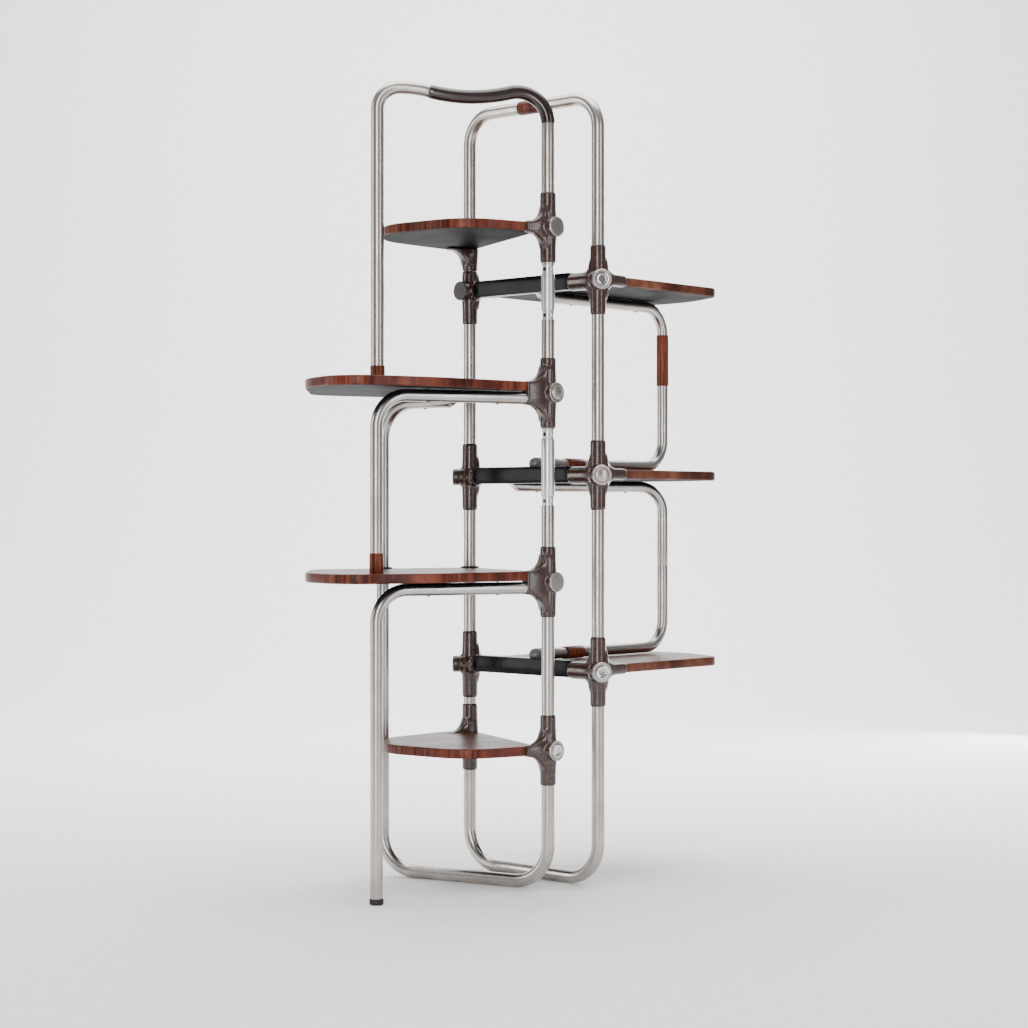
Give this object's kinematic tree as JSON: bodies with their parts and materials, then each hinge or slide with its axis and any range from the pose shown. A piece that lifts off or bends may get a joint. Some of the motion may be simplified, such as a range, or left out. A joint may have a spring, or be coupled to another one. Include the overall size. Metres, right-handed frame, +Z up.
{
  "type": "ladder shelf",
  "caption": "Free-standing bent-tube ladder shelf with wood boards in moulded clamps on both sides of a shared rear post.",
  "frame": {"origin": "middle of the whole shelf's footprint box, on the floor", "axes": "+Z up; -X towards the large left shelves; +X towards the right shelves; +Y from the front post to the rear post"},
  "size_m": [1.0446, 0.5214, 1.72],
  "materials": {
    "satin_tube": "satin, brushed lengthways",
    "coupler_tube": "satin",
    "brown_casting": "glossy, faintly mottled dark brown moulding",
    "dark_knob": "semi-gloss grey-brown",
    "handgrip_brown": "glossy dark brown moulding",
    "red_wood": "lacquered rosewood veneer",
    "sleeve_wood": "lacquered wood sleeve",
    "black_rail": "gloss black",
    "disc_metal": "satin warm grey",
    "bolt_metal": "polished",
    "spring_steel": "plain",
    "black_rubber": "matt",
    "cap_plastic": "satin dark blue grey"
  },
  "bodies": {
    "frame": {"front_floor_hoop": "satin_tube", "front_middle_post": "satin_tube", "front_upper_post": "satin_tube", "front_hoop_tube": "satin_tube", "handgrip": "handgrip_brown", "hoop_collar": "sleeve_wood", "inner_joint_tubes": "spring_steel", "upper_coupler_tube": "coupler_tube", "upper_coupler_sleeve": "coupler_tube", "lower_coupler_tube": "coupler_tube", "lower_coupler_sleeve": "coupler_tube", "button_springs": "spring_steel", "middle_leg_tube": "satin_tube", "leg_collar": "sleeve_wood", "front_leg_tube": "satin_tube", "foot_cap": "black_rubber", "rear_floor_hoop": "satin_tube", "rear_left_tube": "satin_tube", "rear_right_tube": "satin_tube", "rear_band": "sleeve_wood", "front_clamp_1": "brown_casting", "front_clamp_2": "brown_casting", "front_clamp_3": "brown_casting", "front_clamp_7": "brown_casting", "right_clamp_4": "brown_casting", "right_clamp_5": "brown_casting", "right_clamp_6": "brown_casting", "rear_clamp_1": "brown_casting", "rear_clamp_4": "brown_casting", "rear_clamp_5": "brown_casting", "rear_clamp_6": "brown_casting", "rear_clamp_7": "brown_casting", "cover_discs": "disc_metal", "clamp_bolts": "bolt_metal", "bolt_washers": "disc_metal", "rail_4": "black_rail", "rail_5": "black_rail", "rail_6": "black_rail", "shelf_1": "red_wood", "shelf_2": "red_wood", "shelf_3": "red_wood", "shelf_4": "red_wood", "shelf_5": "red_wood", "shelf_6": "red_wood", "shelf_7": "red_wood", "upper_side_tube": "satin_tube", "lower_side_top_tube": "satin_tube", "lower_side_bottom_tube": "satin_tube", "side_wood_sleeves": "sleeve_wood", "side_end_caps": "cap_plastic", "rubber_rings": "black_rubber", "arm_screws": "spring_steel"},
    "rear_knob_4": {"rear_knob_4": "dark_knob"},
    "rear_knob_5": {"rear_knob_5": "dark_knob"},
    "rear_knob_6": {"rear_knob_6": "dark_knob"},
    "upper_coupler_top_button": {"upper_coupler_top_button": "bolt_metal"},
    "upper_coupler_bottom_button": {"upper_coupler_bottom_button": "bolt_metal"},
    "lower_coupler_top_button": {"lower_coupler_top_button": "bolt_metal"},
    "lower_coupler_bottom_button": {"lower_coupler_bottom_button": "bolt_metal"}
  },
  "joints": [
    {"name": "rear_knob_4_turn", "type": "hinge", "parent": "frame", "child": "rear_knob_4", "pos_m": [-0.01128, 0.13653, 1.303], "axis": [-0.9744, -0.225, 0], "range_deg": [0, 360]},
    {"name": "rear_knob_5_turn", "type": "hinge", "parent": "frame", "child": "rear_knob_5", "pos_m": [-0.01128, 0.13653, 0.884], "axis": [-0.866, 0.5, 0], "range_deg": [0, 360]},
    {"name": "rear_knob_6_turn", "type": "hinge", "parent": "frame", "child": "rear_knob_6", "pos_m": [-0.01128, 0.13653, 0.462], "axis": [-0.866, 0.5, 0], "range_deg": [0, 360]},
    {"name": "upper_coupler_top_button_press", "type": "slide", "parent": "frame", "child": "upper_coupler_top_button", "axis": [0, 1, 0], "range_m": [0, 0.0034], "stiffness_N_per_m": 800, "springref_m": -0.003},
    {"name": "upper_coupler_bottom_button_press", "type": "slide", "parent": "frame", "child": "upper_coupler_bottom_button", "axis": [0, 1, 0], "range_m": [0, 0.0034], "stiffness_N_per_m": 800, "springref_m": -0.003},
    {"name": "lower_coupler_top_button_press", "type": "slide", "parent": "frame", "child": "lower_coupler_top_button", "axis": [0, 1, 0], "range_m": [0, 0.0034], "stiffness_N_per_m": 800, "springref_m": -0.003},
    {"name": "lower_coupler_bottom_button_press", "type": "slide", "parent": "frame", "child": "lower_coupler_bottom_button", "axis": [0, 1, 0], "range_m": [0, 0.0034], "stiffness_N_per_m": 800, "springref_m": -0.003}
  ]
}
